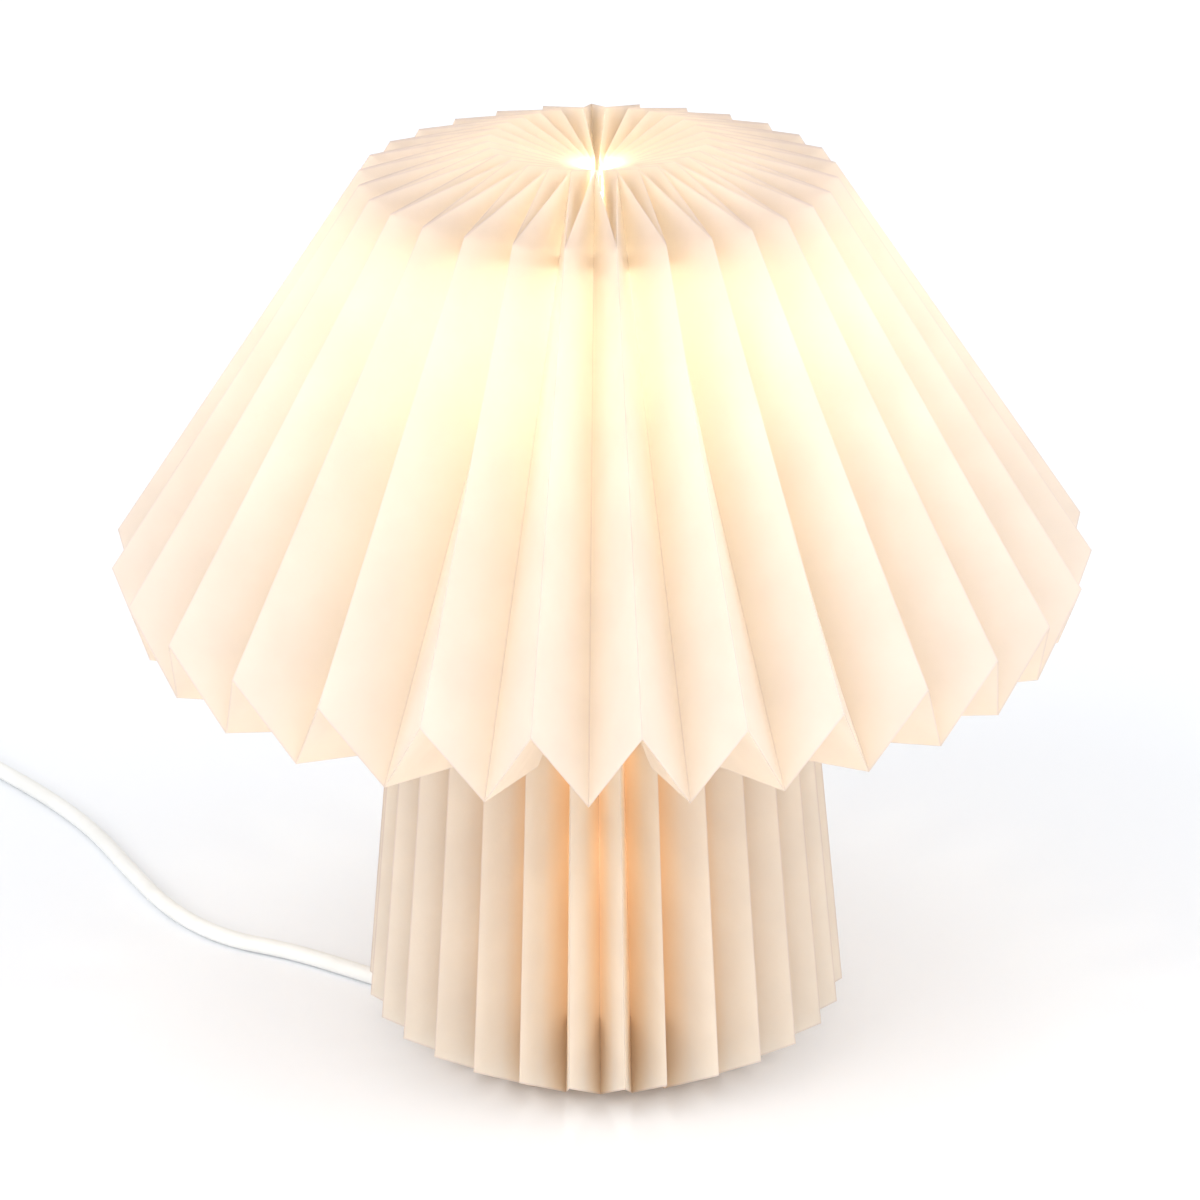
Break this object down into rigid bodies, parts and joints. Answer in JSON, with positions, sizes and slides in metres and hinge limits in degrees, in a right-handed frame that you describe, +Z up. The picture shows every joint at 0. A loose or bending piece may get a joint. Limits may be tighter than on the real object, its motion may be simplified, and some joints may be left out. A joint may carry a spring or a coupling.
{
  "type": "pleated paper table lamp",
  "caption": "Table lamp with a wide pleated paper shade, folded over into a funnel on top, standing on a pleated paper base",
  "frame": {"origin": "on the table under the middle of the lamp, at the lowest point of the base's folds and the foot pads", "axes": "+Z up along the stem; -Y to the front, where the picture was taken from; +X to its right; the cord leaves at the back left"},
  "size_m": [0.5188, 0.4112, 0.2946],
  "materials": {
    "shade_paper": "pleated cream paper, lit from inside",
    "base_paper": "pleated warm cream paper",
    "thread": "off-white cotton thread",
    "cast_iron": "bare casting, primed",
    "rubber": "soft black rubber",
    "grommet_rubber": "white soft rubber",
    "zinc_steel": "zinc plated",
    "white_metal": "white powder coat",
    "holder_plastic": "white moulded thermoset",
    "insulator": "white ceramic",
    "black_insulator": "black glassy insulator",
    "brass": "plain brass",
    "bulb_metal": "bright nickel plate",
    "bulb_plastic": "white plastic housing",
    "board": "white aluminium-backed board",
    "cord_sheath": "smooth white sheath",
    "switch_plastic": "white moulded plastic",
    "plug_plastic": "white moulded plastic",
    "opal_globe": "opal plastic, lit"
  },
  "bodies": {
    "stand": {"base_paper": "base_paper", "base_weight": "cast_iron", "foot_pad_1": "rubber", "foot_pad_2": "rubber", "foot_pad_3": "rubber", "stem_tube": "zinc_steel", "stem_washers": "zinc_steel", "stem_nuts": "zinc_steel", "support_disc": "white_metal", "holder_cap": "holder_plastic", "grub_screw": "zinc_steel", "holder_shell": "holder_plastic", "holder_insert": "insulator", "terminal_screws": "brass", "screw_shell": "brass", "centre_contact": "brass", "shade_ring_lower": "holder_plastic", "carrier_fitter": "white_metal", "carrier_hoop": "white_metal", "carrier_arm_1": "white_metal", "carrier_arm_2": "white_metal", "carrier_arm_3": "white_metal", "cord_grommet": "grommet_rubber", "cord_riser": "cord_sheath", "cord": "cord_sheath", "cord_middle": "cord_sheath", "cord_tail": "cord_sheath", "cord_coil": "cord_sheath", "switch_lower": "switch_plastic", "switch_upper": "switch_plastic", "switch_screws": "zinc_steel", "plug_body": "plug_plastic", "plug_relief": "plug_plastic", "plug_pins": "bulb_metal"},
    "shade": {"shade_paper": "shade_paper", "shade_underside": "shade_paper", "shade_thread": "thread"},
    "bulb_screw": {"bulb_tip": "bulb_metal", "bulb_insulator": "black_insulator", "bulb_cap": "bulb_metal"},
    "bulb": {"bulb_body": "bulb_plastic", "bulb_board": "board", "bulb_globe": "opal_globe"},
    "upper_ring": {"shade_ring_upper": "holder_plastic"},
    "rocker": {"switch_rocker": "switch_plastic"}
  },
  "joints": [
    {"name": "shade_lift", "type": "slide", "parent": "stand", "child": "shade", "axis": [0, 0, 1], "range_m": [0, 0.16]},
    {"name": "bulb_rise", "type": "slide", "parent": "stand", "child": "bulb_screw", "axis": [0, 0, 1], "range_m": [0, 0.0141]},
    {"name": "bulb_turn", "type": "hinge", "parent": "bulb_screw", "child": "bulb", "pos_m": [0, 0, 0.19], "axis": [0, 0, 1], "range_deg": [0, 1800]},
    {"name": "ring_turn", "type": "hinge", "parent": "stand", "child": "upper_ring", "pos_m": [0, 0, 0.1775], "axis": [0, 0, 1], "range_deg": [0, 1440]},
    {"name": "rocker_tip", "type": "hinge", "parent": "stand", "child": "rocker", "pos_m": [-0.272, 0.232, 0.0122], "axis": [0.6018, 0.7986, 0], "range_deg": [0, 16]}
  ],
  "couplings": [
    {"joint": "bulb_turn", "follows": "bulb_rise", "rad_per_m": 2228.1}
  ]
}
